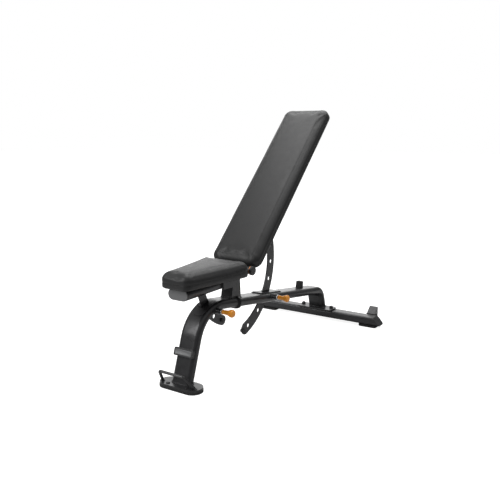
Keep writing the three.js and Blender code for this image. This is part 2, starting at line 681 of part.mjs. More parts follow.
// The spring, drawn at the length it has when the pin is pulled, against the collar.
function pinSpring(name, at) {
  const radius = (PIN_STEM + PIN_SHOULDER) / 2;
  const start = PIN_SHOULDER_AT + PIN_SHOULDER_LENGTH + PIN_TRAVEL + 2 * SPRING_WIRE;
  const end = HOUSING_END - 2 * SPRING_WIRE;
  const advance = (end - start) / (2 * Math.PI * SPRING_TURNS);
  const steps = SPRING_TURNS * 10;
  const stations = Array.from({ length: steps + 1 }, (_, k) => {
    const angle = (2 * Math.PI * SPRING_TURNS * k) / steps;
    const x = start + ((end - start) * k) / steps;
    const point = side(at.y + radius * Math.cos(angle), at.z + radius * Math.sin(angle), x);
    const tangent = side(-radius * Math.sin(angle), radius * Math.cos(angle), advance).normalize();
    return { point, tangent };
  });
  const wire = new THREE.Shape();
  wire.absarc(0, 0, SPRING_WIRE, 0, 2 * Math.PI, false);
  const route = new Route(stations);
  const coil = new THREE.ExtrudeGeometry(wire, { extrudePath: route, steps: route.steps, curveSegments: 3 });
  return mesh(`${name}_pin_spring`, coil, steel);
}

// ---- Rear stabiliser --------------------------------------------------------------------------
// The stabiliser's section is drawn in (y, z).
function stabSection(inset, outline) {
  return roundedBox(STAB_DEPTH - 2 * inset, STAB_HEIGHT - 2 * inset, STAB_CORNER - inset, outline);
}
const stabMiddle = side(STAB_FRONT + STAB_DEPTH / 2, STAB_UNDERSIDE + STAB_HEIGHT / 2);

function rearStabilizer() {
  const section = hollow(stabSection(0), stabSection(STAB_WALL, new THREE.Path()));
  const tube = plate(section, -STAB_HALF, 2 * STAB_HALF);
  return mesh("rear_stabilizer", tube.translate(0, stabMiddle.y, stabMiddle.z), framePaint);
}

function stabilizerCaps() {
  return Object.entries(SIDES).map(([name, s]) => {
    const points = stabSection(0).getPoints(4).slice(0, -1);
    const splayed = (point) => STAB_CAP_TOP + STAB_CAP_SPLAY * (0.5 - point.y / STAB_HEIGHT);
    const at = (x, point) => new THREE.Vector3(x, stabMiddle.y + point.x, stabMiddle.z + point.y);
    const start = STAB_HALF + GAP;
    const shrunk = (point) => point.clone().multiplyScalar(1 - (2 * STAB_CAP_EDGE) / STAB_DEPTH);
    const rings = [
      points.map((point) => at(start, point)),
      points.map((point) => at(start + splayed(point) - STAB_CAP_EDGE, point)),
      points.map((point) => at(start + splayed(point), shrunk(point))),
    ];
    const cap = loft(rings);
    const dimple = rod(3, start + STAB_CAP_SPLAY / 2, start + STAB_CAP_SPLAY * 2, stabMiddle.y, stabMiddle.z);
    const body = cut(cap, dimple);
    if (s < 0) body.rotateZ(Math.PI).translate(0, 2 * stabMiddle.y, 0);
    return mesh(`stabilizer_cap_${name}`, body, blackPlastic);
  });
}

function stabilizerFeet() {
  const length = REAR_FOOT_OUTER - REAR_FOOT_INNER;
  return Object.entries(SIDES).map(([name, s]) => {
    const foot = slab(roundedBox(length, REAR_FOOT_DEPTH, STAB_CORNER), 0, STAB_UNDERSIDE - GAP, 3);
    foot.translate((s * (REAR_FOOT_INNER + REAR_FOOT_OUTER)) / 2, stabMiddle.y, 0);
    return mesh(`stabilizer_foot_${name}`, foot, rubber);
  });
}

function rearMountPlate() {
  const flat = slab(roundedBox(2 * MOUNT_HALF, MOUNT_DEPTH, STAB_CORNER), stabTop + GAP, MOUNT_THICKNESS, 3);
  flat.translate(0, MOUNT_FRONT + MOUNT_DEPTH / 2, 0);
  const holes = boltHoles(stabTop, mountTop + 1, MOUNT_BOLT_X, MOUNT_BOLT_Y);
  return mesh("rear_mount_plate", cut(flat, ...holes), framePaint);
}

function rearMountBolts() {
  return Object.entries(SIDES).map(([name, s]) => {
    const at = new THREE.Vector3(s * MOUNT_BOLT_X, MOUNT_BOLT_Y, mountTop);
    const bolt = domeScrew(BOLT_DOME, BOLT_RISE, MOUNT_THICKNESS - GAP, at);
    return mesh(`rear_mount_bolt_${name}`, bolt, blackPaint);
  });
}

const bracketOuter = BRACKET_INNER + BRACKET_WIDTH;
const stabRear = STAB_FRONT + STAB_DEPTH + GAP;

function bracketOutline(inset) {
  const edge = BRACKET_REAR - WHEEL_Y;
  const outline = new THREE.Shape();
  outline.moveTo(stabRear, WHEEL_Z - STAB_CORNER);
  outline.lineTo(WHEEL_Y, WHEEL_Z - STAB_CORNER);
  outline.absarc(WHEEL_Y, WHEEL_Z - STAB_CORNER + edge, edge, -Math.PI / 2, 0, false);
  outline.lineTo(BRACKET_REAR, BRACKET_TOP - edge / 2);
  outline.absarc(BRACKET_REAR - edge / 2, BRACKET_TOP - edge / 2, edge / 2 - inset, 0, Math.PI / 1.5, false);
  outline.lineTo(stabRear, stabTop);
  return outline.closePath();
}

function wheelBrackets() {
  return Object.entries(SIDES).map(([name, s]) => {
    const whole = plate(bracketOutline(0), BRACKET_INNER, BRACKET_WIDTH);
    const room = plate(bracketOutline(0), BRACKET_INNER + BRACKET_WALL, BRACKET_WIDTH - 2 * BRACKET_WALL);
    room.translate(0, BRACKET_WALL / 2, -BRACKET_WALL);
    const foot = new THREE.Vector3(BRACKET_INNER, stabRear, WHEEL_Z - WHEEL_RADIUS);
    const clear = block(
      foot.clone().add(new THREE.Vector3(BRACKET_WALL, BRACKET_WALL, -WHEEL_RADIUS)),
      new THREE.Vector3(bracketOuter - BRACKET_WALL, BRACKET_REAR + 1, WHEEL_Z + WHEEL_RADIUS / 2),
    );
    const hole = rod(WHEEL_AXLE_RADIUS + RUN, BRACKET_INNER - 1, bracketOuter + 1, WHEEL_Y, WHEEL_Z);
    const body = cut(whole, room, clear, hole);
    if (s < 0) body.translate(-BRACKET_INNER - bracketOuter, 0, 0);
    return mesh(`wheel_bracket_${name}`, body, framePaint);
  });
}

function wheelAxles() {
  return Object.entries(SIDES).map(([name, s]) => {
    const head = WHEEL_AXLE_RADIUS * 1.8;
    const start = BRACKET_INNER - GAP;
    const end = bracketOuter + GAP;
    const profile = [[0, start - WHEEL_AXLE_RADIUS], [head, start - WHEEL_AXLE_RADIUS], [head, start]];
    profile.push([WHEEL_AXLE_RADIUS, start], [WHEEL_AXLE_RADIUS, end], [head, end]);
    profile.push([head, end + WHEEL_AXLE_RADIUS], [0, end + WHEEL_AXLE_RADIUS]);
    const bolt = turned(profile, WHEEL_Y, WHEEL_Z, ROUND);
    if (s < 0) bolt.translate(-BRACKET_INNER - bracketOuter, 0, 0);
    return mesh(`wheel_axle_${name}`, bolt, blackPaint);
  });
}

function wheel(name) {
  const from = BRACKET_INNER + BRACKET_WALL + WHEEL_SIDE_GAP;
  const to = bracketOuter - BRACKET_WALL - WHEEL_SIDE_GAP;
  const bore = WHEEL_AXLE_RADIUS + RUN;
  const edge = 3;
  const hub = WHEEL_RADIUS * 0.45;
  const rim = WHEEL_RADIUS * 0.75;
  const dish = 3;
  const profile = [[bore, from], [hub, from], [hub, from + dish], [rim, from + dish], [rim, from]];
  profile.push([WHEEL_RADIUS - edge, from], [WHEEL_RADIUS, from + edge], [WHEEL_RADIUS, to - edge]);
  profile.push([WHEEL_RADIUS - edge, to], [rim, to], [rim, to - dish], [hub, to - dish]);
  profile.push([hub, to], [bore, to]);
  const turnedWheel = ring(profile, WHEEL_Y, WHEEL_Z, ROUND);
  if (SIDES[name] < 0) turnedWheel.translate(-from - to, 0, 0);
  return mesh(`wheel_${name}`, turnedWheel, rubber);
}

// ---- Pads and boards --------------------------------------------------------------------------
// A padded block on a closed outline: straight sides, then a rounded bevel up to its face.
function padBlock(corners, { corner, low, thickness, bevel, depth }) {
  const steps = 4;
  const high = low + thickness;
  const rings = [level(padOutline(corners, corner, 2), low), level(padOutline(corners, corner, 0), low + 4)];
  for (let k = 0; k <= steps; k++) {
    const angle = (k * Math.PI) / 2 / steps;
    const inset = bevel * (1 - Math.cos(angle));
    rings.push(level(padOutline(corners, corner, inset), high - depth * (1 - Math.sin(angle))));
  }
  return loft(rings);
}

function boardBlock(corners, corner, low) {
  const outline = padOutline(corners, corner, BOARD_INSET);
  return loft([level(outline, low), level(outline, low + BOARD_THICKNESS)]);
}

// The pad has a pocket underneath for its board.
function padAndBoard(name, corners, sizes) {
  const { corner, low, drop } = sizes;
  const boardLow = low - drop + GAP;
  const outline = padOutline(corners, corner, BOARD_INSET - GAP);
  const pocket = loft([level(outline, low - 1), level(outline, boardLow + BOARD_THICKNESS + GAP)]);
  const pad = cut(padBlock(corners, sizes), pocket);
  const board = boardBlock(corners, corner, boardLow);
  return [mesh(`${name}_pad`, pad, vinyl), mesh(`${name}_board`, board, plywood)];
}

// ---- Seat, about the pivot --------------------------------------------------------------------
const seatTubeTop = SEAT_UNDERSIDE - SEAT_TUBE_DROP;
const seatTubeLow = seatTubeTop - SEAT_TUBE_HEIGHT;

function seatCushion() {
  const front = SEAT_REAR - SEAT_LENGTH;
  const corners = [
    new THREE.Vector2(-SEAT_FRONT_WIDTH / 2, front),
    new THREE.Vector2(SEAT_FRONT_WIDTH / 2, front),
    new THREE.Vector2(SEAT_REAR_WIDTH / 2, SEAT_REAR),
    new THREE.Vector2(-SEAT_REAR_WIDTH / 2, SEAT_REAR),
  ];
  return padAndBoard("seat", corners, {
    corner: SEAT_CORNER,
    low: SEAT_UNDERSIDE,
    thickness: SEAT_THICKNESS,
    drop: SEAT_TUBE_DROP,
    bevel: SEAT_BEVEL,
    depth: SEAT_BEVEL_DEPTH,
  });
}

function straightTube(width, height, wall, from, to) {
  return sweep(tubeSection(width, height, wall), bentRoute([from, to], 0));
}

function seatSupportTube() {
  const middle = seatTubeTop - SEAT_TUBE_HEIGHT / 2;
  const from = side(SEAT_TUBE_FRONT, middle);
  const to = side(SEAT_TUBE_REAR, middle);
  const tube = straightTube(SEAT_TUBE_WIDTH, SEAT_TUBE_HEIGHT, TUBE_WALL, from, to);
  return mesh("seat_support_tube", tube, framePaint);
}

function capPlate(width, height, at, heading) {
  const to = at.clone().addScaledVector(heading, CAP_THICKNESS);
  return sweep(racetrack(width, height), bentRoute([at, to], 0));
}

function seatTubeCap() {
  const at = side(SEAT_TUBE_FRONT - GAP, seatTubeTop - SEAT_TUBE_HEIGHT / 2);
  const cap = capPlate(SEAT_TUBE_WIDTH, SEAT_TUBE_HEIGHT, at, side(-1, 0));
  return mesh("seat_tube_cap", cap, greyPlastic);
}

function seatLugs() {
  const top = seatTubeTop - 2;
  const low = seatTubeLow + 4;
  const outline = new THREE.Shape();
  outline.moveTo(LUG_FRONT, top);
  outline.lineTo(LUG_FRONT, low);
  outline.lineTo(SEAT_TUBE_REAR, low - 4);
  outline.lineTo(SEAT_TUBE_REAR + 55, low + 15);
  outline.absarc(0, 0, LUG_BOSS, rad(-60), rad(172), false);
  outline.lineTo(SEAT_REAR + 4, top);
  outline.closePath();
  outline.holes.push(circle(0, 0, AXLE_RADIUS + RUN));
  return Object.entries(SIDES).map(([name, s]) => {
    const inner = SEAT_TUBE_WIDTH / 2 + GAP;
    const start = s > 0 ? inner : -inner - LUG_THICKNESS;
    return mesh(`seat_hinge_lug_${name}`, plate(outline, start, LUG_THICKNESS, ROUND / 2), framePaint);
  });
}

// An arc plate from its rounded lower end up to the flat underside of its tube. meet(radius) gives
// the angle at which a circle of that radius reaches the tube.
function arcPlate(radius, width, end, meet, holes, spin) {
  const inner = radius - width / 2;
  const outer = radius + width / 2;
  const outline = new THREE.Shape();
  const tip = onArc(radius, end);
  outline.absarc(0, 0, outer, meet(outer), rad(end), spin < 0);
  outline.absarc(tip.y, tip.z, width / 2, rad(end), rad(end) + spin * Math.PI, spin < 0);
  outline.absarc(0, 0, inner, rad(end), meet(inner), spin > 0);
  outline.closePath();
  for (const [angle, holeRadius] of holes) {
    const at = onArc(radius, angle);
    outline.holes.push(circle(at.y, at.z, holeRadius));
  }
  return plate(outline, -ARC_THICKNESS / 2, ARC_THICKNESS, COARSE / 2);
}

function arcStop(name, radius, angle) {
  const at = onArc(radius, angle);
  const start = ARC_THICKNESS / 2 + GAP;
  const end = start + STOP_HEAD_LENGTH;
  const profile = [[0, -end], [STOP_HEAD - 1, -end], [STOP_HEAD, 1 - end], [STOP_HEAD, -start]];
  profile.push([STOP_SHANK, -start], [STOP_SHANK, start], [STOP_HEAD, start], [STOP_HEAD, end - 1]);
  profile.push([STOP_HEAD - 1, end], [0, end]);
  return mesh(name, turned(profile, at.y, at.z), blackPaint);
}

function seatArc() {
  const depth = GAP - seatTubeLow;
  const meet = (radius) => Math.asin(depth / radius) - Math.PI;
  const holes = SEAT_STOPS.map((angle) => [SEAT_PIN_ANGLE + angle, ARC_HOLE_RADIUS]);
  holes.push([SEAT_STOP_ANGLE, STOP_SHANK + RUN]);
  const arc = arcPlate(SEAT_ARC_RADIUS, SEAT_ARC_WIDTH, SEAT_ARC_END, meet, holes, 1);
  return [
    mesh("seat_adjust_arc", arc, framePaint),
    arcStop("seat_arc_stop", SEAT_ARC_RADIUS, SEAT_STOP_ANGLE),
  ];
}

// ---- Back, about the pivot in its own tilted frame --------------------------------------------
const backTubeTop = BACK_UNDERSIDE - BACK_TUBE_DROP;
const backTubeLow = backTubeTop - BACK_TUBE_HEIGHT;

function backCushion() {
  const half = BACK_WIDTH / 2;
  const end = BACK_START + BACK_LENGTH;
  const corners = [
    new THREE.Vector2(-half, BACK_START),
    new THREE.Vector2(half, BACK_START),
    new THREE.Vector2(half, end),
    new THREE.Vector2(-half, end),
  ];
  return padAndBoard("back", corners, {
    corner: BACK_CORNER,
    low: BACK_UNDERSIDE,
    thickness: BACK_THICKNESS,
    drop: BACK_TUBE_DROP,
    bevel: BACK_BEVEL,
    depth: BACK_BEVEL_DEPTH,
  });
}

function backSupportTube() {
  const middle = backTubeTop - BACK_TUBE_HEIGHT / 2;
  const from = side(BACK_TUBE_START, middle);
  const to = side(BACK_TUBE_END, middle);
  const tube = straightTube(BACK_TUBE_WIDTH, BACK_TUBE_HEIGHT, TUBE_WALL, from, to);
  const cap = (y, way) => capPlate(BACK_TUBE_WIDTH, BACK_TUBE_HEIGHT, side(y, middle), side(way, 0));
  return [
    mesh("back_support_tube", tube, framePaint),
    mesh("back_tube_cap_lower", cap(BACK_TUBE_START - GAP, -1), blackPlastic),
    mesh("back_tube_cap_upper", cap(BACK_TUBE_END + GAP, 1), blackPlastic),
  ];
}

function backArms() {
  const top = backTubeTop - 4;
  const low = backTubeLow + 4;
  const outline = new THREE.Shape();
  outline.absarc(0, 0, LUG_BOSS, rad(-40), rad(-105), false);
  outline.lineTo(BACK_TUBE_START, low);
  outline.lineTo(ARM_END, low);
  outline.lineTo(ARM_END, top);
  outline.lineTo(BACK_TUBE_START, top);
  outline.lineTo(BACK_START + 2, backTubeTop - GAP);
  outline.closePath();
  return Object.entries(SIDES).flatMap(([name, s]) => {
    const blade = plate(outline, ARM_SPACING, ARM_THICKNESS, ROUND / 4);
    const spacerFrom = new THREE.Vector3(BACK_TUBE_WIDTH / 2 + GAP, BACK_TUBE_START + 10, low + 6);
    const spacer = block(spacerFrom, new THREE.Vector3(ARM_SPACING + 1, ARM_END - 10, top - 6));
    const hub = rod(HUB_RADIUS, ARM_SPACING, HUB_END, 0, 0, ROUND);
    const bore = rod(AXLE_RADIUS + RUN + BUSH_WALL + GAP, ARM_SPACING - 1, HUB_END + 1, 0, 0, ROUND);
    const body = cut(join(blade, spacer, hub), bore);
    const bush = pivotBush();
    const [arm, bearing] = s > 0 ? [body, bush] : [mirrored(body), mirrored(bush)];
    return [mesh(`back_hinge_arm_${name}`, arm, framePaint), mesh(`pivot_bush_${name}`, bearing, bronze)];
  });
}

function pivotBush() {
  const bore = AXLE_RADIUS + RUN;
  const outer = bore + BUSH_WALL;
  const flange = HUB_END + GAP;
  const end = flange + BUSH_FLANGE;
  const profile = [[bore, ARM_SPACING], [outer, ARM_SPACING], [outer, flange]];
  profile.push([BUSH_FLANGE_RADIUS, flange], [BUSH_FLANGE_RADIUS, end], [bore, end]);
  return ring(profile, 0, 0, ROUND);
}

function backArc() {
  const depth = GAP - backTubeLow;
  const meet = (radius) => -Math.asin(depth / radius);
  const holes = BACK_STOPS.map((angle) => [BACK_PIN_ANGLE - angle, ARC_HOLE_RADIUS]);
  holes.push([BACK_STOP_ANGLE - BACK_REST, STOP_SHANK + RUN]);
  const arc = arcPlate(BACK_ARC_RADIUS, BACK_ARC_WIDTH, BACK_ARC_END - BACK_REST, meet, holes, -1);
  return [
    mesh("back_adjust_arc", arc, framePaint),
    arcStop("back_arc_stop", BACK_ARC_RADIUS, BACK_STOP_ANGLE - BACK_REST),
  ];
}

// ---- Assembly ---------------------------------------------------------------------------------
function group(...pieces) {
  return new THREE.Group().add(...pieces.flat());
}

const frame = group(
  frontLegTube(),
  spineTube(),
  frameCollar(),
  pivotTower(),
  frontFoot(),
  frontFootScrews(),
  liftHandle(),
  badgeBand(),
  seatGuidePlate(),
  backGuidePlate(),
  backBumper(),
  pivotAxle(),
  axleCaps(),
  rearStabilizer(),
  stabilizerCaps(),
  stabilizerFeet(),
  rearMountPlate(),
  rearMountBolts(),
  wheelBrackets(),
  wheelAxles(),
);

const pinPieces = [pinHousing, pinCollar, pinSpring, pinPlunger, pinKnob];
const pins = Object.entries({ back: backPin, seat: seatPin }).map(([name, at]) =>
  group(pinPieces.map((piece) => piece(name, at))),
);

const seat = group(seatCushion(), seatSupportTube(), seatTubeCap(), seatLugs(), seatArc());
seat.position.copy(pivot);

const back = group(backCushion(), backSupportTube(), backArms(), backArc());
back.position.copy(pivot);
back.rotation.x = rad(BACK_REST);

const wheels = group(wheel("left"), wheel("right"));

// The part's origin is on the floor, in the middle of its footprint.
const foremost = HANDLE_BASE_Y - HANDLE_REACH - HANDLE_BAR / 2;
const rearmost = Math.max(WHEEL_Y + WHEEL_RADIUS, BRACKET_REAR);
const bench = group(frame, pins, seat, back, wheels);
bench.position.y = -(foremost + rearmost) / 2;

export default bench;
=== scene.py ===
"""The looks of the adjustable weight bench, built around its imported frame. Metres, +Z up."""

import json
import math

import bmesh
import bpy
import numpy as np
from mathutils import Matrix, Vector
from mathutils.bvhtree import BVHTree
from mathutils.kdtree import KDTree


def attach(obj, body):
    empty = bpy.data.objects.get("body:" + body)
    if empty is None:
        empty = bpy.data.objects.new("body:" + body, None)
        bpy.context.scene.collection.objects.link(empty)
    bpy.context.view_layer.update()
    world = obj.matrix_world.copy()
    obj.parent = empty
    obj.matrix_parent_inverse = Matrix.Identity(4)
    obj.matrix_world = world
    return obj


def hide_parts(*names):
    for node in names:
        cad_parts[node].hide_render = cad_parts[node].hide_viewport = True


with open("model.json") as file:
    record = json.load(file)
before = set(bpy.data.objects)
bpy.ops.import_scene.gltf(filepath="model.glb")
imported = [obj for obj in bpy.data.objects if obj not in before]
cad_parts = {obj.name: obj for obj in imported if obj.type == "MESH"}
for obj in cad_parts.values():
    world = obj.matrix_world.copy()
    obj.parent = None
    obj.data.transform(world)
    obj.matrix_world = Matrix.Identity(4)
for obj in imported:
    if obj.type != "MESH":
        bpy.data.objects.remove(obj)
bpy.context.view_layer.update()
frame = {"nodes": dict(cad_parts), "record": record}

rad = math.radians
MM = 0.001

# ---- Places, in the floor frame of the part: millimetres, y = 0 at the middle of the front foot ----
FLOOR_TO_FRAME = -630.0
TUBE_WIDTH, TUBE_HEIGHT = 100, 42
TUBE_ROUND = TUBE_HEIGHT / 2
LEG_LEAN, SPINE_FALL, REAR_LEAN = 18.9, 8.22, 17  # degrees
CREST = np.array([0, 115, 327.0])
CREST_RADIUS = 160
PIVOT = np.array([0, 376, 446.0])
FOOT_TOP = 20.3
MOUNT_TOP = 66.3
REAR_CORNER_Y = 1199
COLLAR_Y, COLLAR_LENGTH = 365, 12
BACK_REST = 45


def yz(y, z):
    """A point or a direction in the plane x = 0."""
    return np.array([0.0, y, z])


leg_way = yz(math.sin(rad(LEG_LEAN)), math.cos(rad(LEG_LEAN)))
leg_front = yz(-leg_way[2], leg_way[1])
spine_way = yz(math.cos(rad(SPINE_FALL)), -math.sin(rad(SPINE_FALL)))
spine_up = yz(-spine_way[2], spine_way[1])
rear_way = yz(math.sin(rad(REAR_LEAN)), -math.cos(rad(REAR_LEAN)))
ACROSS = np.array([1.0, 0, 0])
ALONG_FLOOR = yz(1.0, 0)


def spine_at(y):
    return CREST + spine_way * ((y - CREST[1]) / spine_way[1])


def along_to_height(point, way, z):
    return point + way * ((z - point[2]) / way[2])


def to_frame(points):
    """Floor-frame millimetres as metres in the shared frame."""
    return (np.asarray(points, float) + (0, FLOOR_TO_FRAME, 0)) * MM


class Place:
    """A plane to draw on: its origin and its u, v and n directions."""

    def __init__(self, origin, u, v, n):
        self.origin, self.axes = np.asarray(origin, float), np.array([u, v, n], float)

    def __call__(self, uvn):
        return to_frame(self.origin + np.asarray(uvn, float) @ self.axes)


seat_place = Place(PIVOT, ACROSS, (0, 1, 0), (0, 0, 1))
tilt = rad(BACK_REST)
back_place = Place(
    PIVOT, ACROSS, (0, math.cos(tilt), math.sin(tilt)), (0, -math.sin(tilt), math.cos(tilt))
)

# ---- Finishes ----


class Nodes:
    """A short way to write a node tree."""

    def __init__(self, tree):
        self.tree = tree

    def add(self, kind, settings=None, **inputs):
        node = self.tree.nodes.new(kind)
        for key, value in (settings or {}).items():
            setattr(node, key, value)
        for key, value in inputs.items():
            self.put(node.inputs[key.replace("_", " ")], value)
        return node

    def put(self, socket, value):
        if isinstance(value, bpy.types.NodeSocket):
            self.tree.links.new(value, socket)
        else:
            socket.default_value = value

    def noise(self, where, scale, detail=4.0, roughness=0.55):
        return self.add(
            "ShaderNodeTexNoise", Vector=where, Scale=scale, Detail=detail, Roughness=roughness
        ).outputs["Fac"]

    def ranged(self, value, low, high, to_low, to_high):
        node = self.add("ShaderNodeMapRange", {"clamp": True}, Value=value)
        ends = {"From Min": low, "From Max": high, "To Min": to_low, "To Max": to_high}
        for key, number in ends.items():
            node.inputs[key].default_value = number
        return node.outputs["Result"]

    def math(self, operation, a, b):
        node = self.add("ShaderNodeMath", {"operation": operation})
        self.put(node.inputs[0], a)
        self.put(node.inputs[1], b)
        return node.outputs[0]

    def mix(self, factor, a, b):
        node = self.add("ShaderNodeMix", {"data_type": "RGBA"})
        self.put(node.inputs["Factor"], factor)
        self.put(node.inputs[6], a)
        self.put(node.inputs[7], b)
        return node.outputs[2]


NOISE_SPAN = (0.3, 0.7)  # most of a noise texture's values
ROUGHNESS_SPREAD = 0.06
FLECK_SCALE, FLECK_SPAN, FLECK_TONE = 2600.0, (0.60, 0.74), 3.2
WORN_SPAN = (0.53, 0.60)  # pointiness, from a flat to a bare edge
WORN_PATCHES, WORN_POLISH = (0.42, 0.62), 0.12
LEATHER_BEND, LEATHER_CREASE = 0.0016, 0.28


def shade(color, factor):
    return tuple(min(1.0, c * factor) for c in color) + (1.0,)


def finish(
    name,
    color,
    roughness,
    metallic=0.0,
    mottle=0.14,
    mottle_scale=9.0,
    grain=("noise", 900.0, 0.10, 0.1),
    fleck=0.0,
    wear=0.0,
    wear_color=(0.25, 0.25, 0.26),
    **sockets,
):
    """A node material: mottled colour, uneven roughness, a bump of the real grain and worn edges."""
    made = bpy.data.materials.new(name)
    made.use_nodes = True
    nodes = Nodes(made.node_tree)
    shader = made.node_tree.nodes["Principled BSDF"]
    where = nodes.add("ShaderNodeTexCoord").outputs["Object"]
    cloud = nodes.noise(where, mottle_scale, 5.0)
    smudge = nodes.noise(where, mottle_scale * 4.3, 6.0, 0.65)
    tone = nodes.ranged(cloud, *NOISE_SPAN, 0.0, 1.0)
    tint = nodes.mix(tone, shade(color, 1 - mottle), shade(color, 1 + mottle))
    if fleck:
        spark = nodes.ranged(nodes.noise(where, FLECK_SCALE, 1.0), *FLECK_SPAN, 0.0, fleck)
        tint = nodes.mix(spark, tint, shade(color, FLECK_TONE))
    smoothest, roughest = roughness - ROUGHNESS_SPREAD, roughness + ROUGHNESS_SPREAD
    rough = nodes.ranged(smudge, *NOISE_SPAN, smoothest, roughest)
    if wear:
        pointy = nodes.add("ShaderNodeNewGeometry").outputs["Pointiness"]
        edge = nodes.ranged(pointy, *WORN_SPAN, 0.0, wear)
        patchy = nodes.ranged(nodes.noise(where, 60.0, 5.0, 0.7), *WORN_PATCHES, 0.15, 1.0)
        worn = nodes.math("MULTIPLY", edge, patchy)
        tint = nodes.mix(worn, tint, tuple(wear_color) + (1.0,))
        rough = nodes.math("SUBTRACT", rough, nodes.math("MULTIPLY", worn, WORN_POLISH))
    kind, scale, strength, distance = grain
    if kind == "leather":
        bend = nodes.add("ShaderNodeMixRGB", {"blend_type": "ADD"}, Fac=LEATHER_BEND)
        nodes.put(bend.inputs["Color1"], where)
        warp = nodes.add("ShaderNodeTexNoise", Vector=where, Scale=scale * 0.6, Detail=2.0)
        nodes.put(bend.inputs["Color2"], warp.outputs["Color"])
        cells = nodes.add(
            "ShaderNodeTexVoronoi",
            {"feature": "DISTANCE_TO_EDGE"},
            Vector=bend.outputs["Color"],
            Scale=scale,
        )
        height = nodes.ranged(cells.outputs["Distance"], 0.0, LEATHER_CREASE, 0.0, 1.0)
        pores = nodes.noise(where, scale * 2.3, 2.0)
        height = nodes.math("ADD", height, nodes.math("MULTIPLY", pores, 0.5))
    elif kind == "weave":
        wave = nodes.add("ShaderNodeTexWave", {"bands_direction": "X"}, Vector=where, Scale=scale)
        weft = nodes.add("ShaderNodeTexWave", {"bands_direction": "Y"}, Vector=where, Scale=scale)
        height = nodes.math("MAXIMUM", wave.outputs["Fac"], weft.outputs["Fac"])
    elif kind == "brushed":
        stretched = nodes.add("ShaderNodeMapping", Vector=where, Scale=(0.04, 1.0, 1.0))
        height = nodes.noise(stretched.outputs["Vector"], scale, 3.0)
    else:
        height = nodes.noise(where, scale, 2.0)
    bump = nodes.add("ShaderNodeBump", Strength=strength, Distance=distance * MM, Height=height)
    nodes.put(shader.inputs["Base Color"], tint)
    nodes.put(shader.inputs["Roughness"], rough)
    nodes.put(shader.inputs["Normal"], bump.outputs["Normal"])
    shader.inputs["Metallic"].default_value = metallic
    for key, value in sockets.items():
        shader.inputs[key.replace("_", " ")].default_value = value
    return made


FINISHES = {
    "frame_paint": finish(
        "frame_paint", (0.026, 0.026, 0.0275), 0.33, 0.35, fleck=0.25, wear=0.35,
        grain=("noise", 1100.0, 0.22, 0.12), wear_color=(0.08, 0.08, 0.085), Coat_Weight=0.12,
    ),
    "black_metal": finish(
        "black_metal", (0.014, 0.014, 0.015), 0.42, 0.5, wear=0.7,
        grain=("noise", 700.0, 0.15, 0.1), wear_color=(0.12, 0.12, 0.12),
    ),
    "steel": finish(
        "steel", (0.56, 0.57, 0.58), 0.27, 1.0, mottle=0.08, grain=("brushed", 1500.0, 0.12, 0.08),
    ),
    "bronze": finish(
        "bronze", (0.62, 0.27, 0.12), 0.34, 0.9, mottle=0.16, grain=("noise", 1400.0, 0.2, 0.08),
    ),
    "vinyl": finish(
        "vinyl", (0.0085, 0.0085, 0.0088), 0.46, mottle=0.08, mottle_scale=7.0,
        grain=("leather", 820.0, 0.34, 0.14), wear=0.25, wear_color=(0.018, 0.018, 0.019),
        Specular_IOR_Level=0.40, Sheen_Weight=0.08, Sheen_Roughness=0.5,
    ),
    "thread": finish(
        "thread", (0.012, 0.012, 0.012), 0.7, mottle=0.2, grain=("noise", 2400.0, 0.5, 0.1),
    ),
    "board": finish(
        "board", (0.016, 0.016, 0.016), 0.9, mottle=0.2, grain=("weave", 260.0, 0.6, 0.2),
        Sheen_Weight=0.1,
    ),
    "rubber": finish(
        "rubber", (0.012, 0.012, 0.0125), 0.72, mottle=0.2, grain=("noise", 520.0, 0.4, 0.2),
        wear=0.4, wear_color=(0.05, 0.05, 0.05),
    ),
    "black_plastic": finish(
        "black_plastic", (0.020, 0.020, 0.021), 0.5, grain=("noise", 1300.0, 0.35, 0.12),
        wear=0.4, wear_color=(0.06, 0.06, 0.06),
    ),
    "grey_plastic": finish(
        "grey_plastic", (0.125, 0.127, 0.130), 0.45, mottle=0.06,
        grain=("noise", 1300.0, 0.3, 0.1), wear=0.3, wear_color=(0.22, 0.22, 0.22),
    ),
    "orange_plastic": finish(
        "orange_plastic", (0.86, 0.32, 0.022), 0.34, mottle=0.07,
        grain=("noise", 900.0, 0.18, 0.1), wear=0.35, wear_color=(0.95, 0.5, 0.16),
        Coat_Weight=0.15, Subsurface_Weight=0.05, Subsurface_Scale=0.004,
    ),
}
LOOK_OF_SLOT = {name: made for name, made in FINISHES.items() if name != "thread"}

# ---- CAD nodes: eased edges and their slot's finish ----
PLAIN_EDGE = 0.5
EASED_EDGES = {
    "frame_paint": 0.9,
    "rubber": 1.2,
    "black_plastic": 0.8,
    "grey_plastic": 1.2,
    "board": 0.6,
}
WELD_DISTANCE = 2e-5
FLAT_ANGLE, SHARP_ANGLE = 1.5, 32  # degrees


def dress(obj, slot, edge):
    mesh = obj.data
    custom = mesh.attributes.get("custom_normal")
    if custom:
        mesh.attributes.remove(custom)
    mesh.shade_smooth()
    obj.modifiers.new("weld", "WELD").merge_threshold = WELD_DISTANCE
    flat = obj.modifiers.new("flat", "DECIMATE")
    flat.decimate_type = "DISSOLVE"
    flat.angle_limit = rad(FLAT_ANGLE)
    ease = obj.modifiers.new("ease", "BEVEL")
    ease.limit_method = "ANGLE"
    ease.angle_limit = rad(SHARP_ANGLE)
    ease.width = edge * MM
    ease.segments = 2
    obj.modifiers.new("even", "WEIGHTED_NORMAL").keep_sharp = True
    mesh.materials.clear()
    mesh.materials.append(LOOK_OF_SLOT[slot])


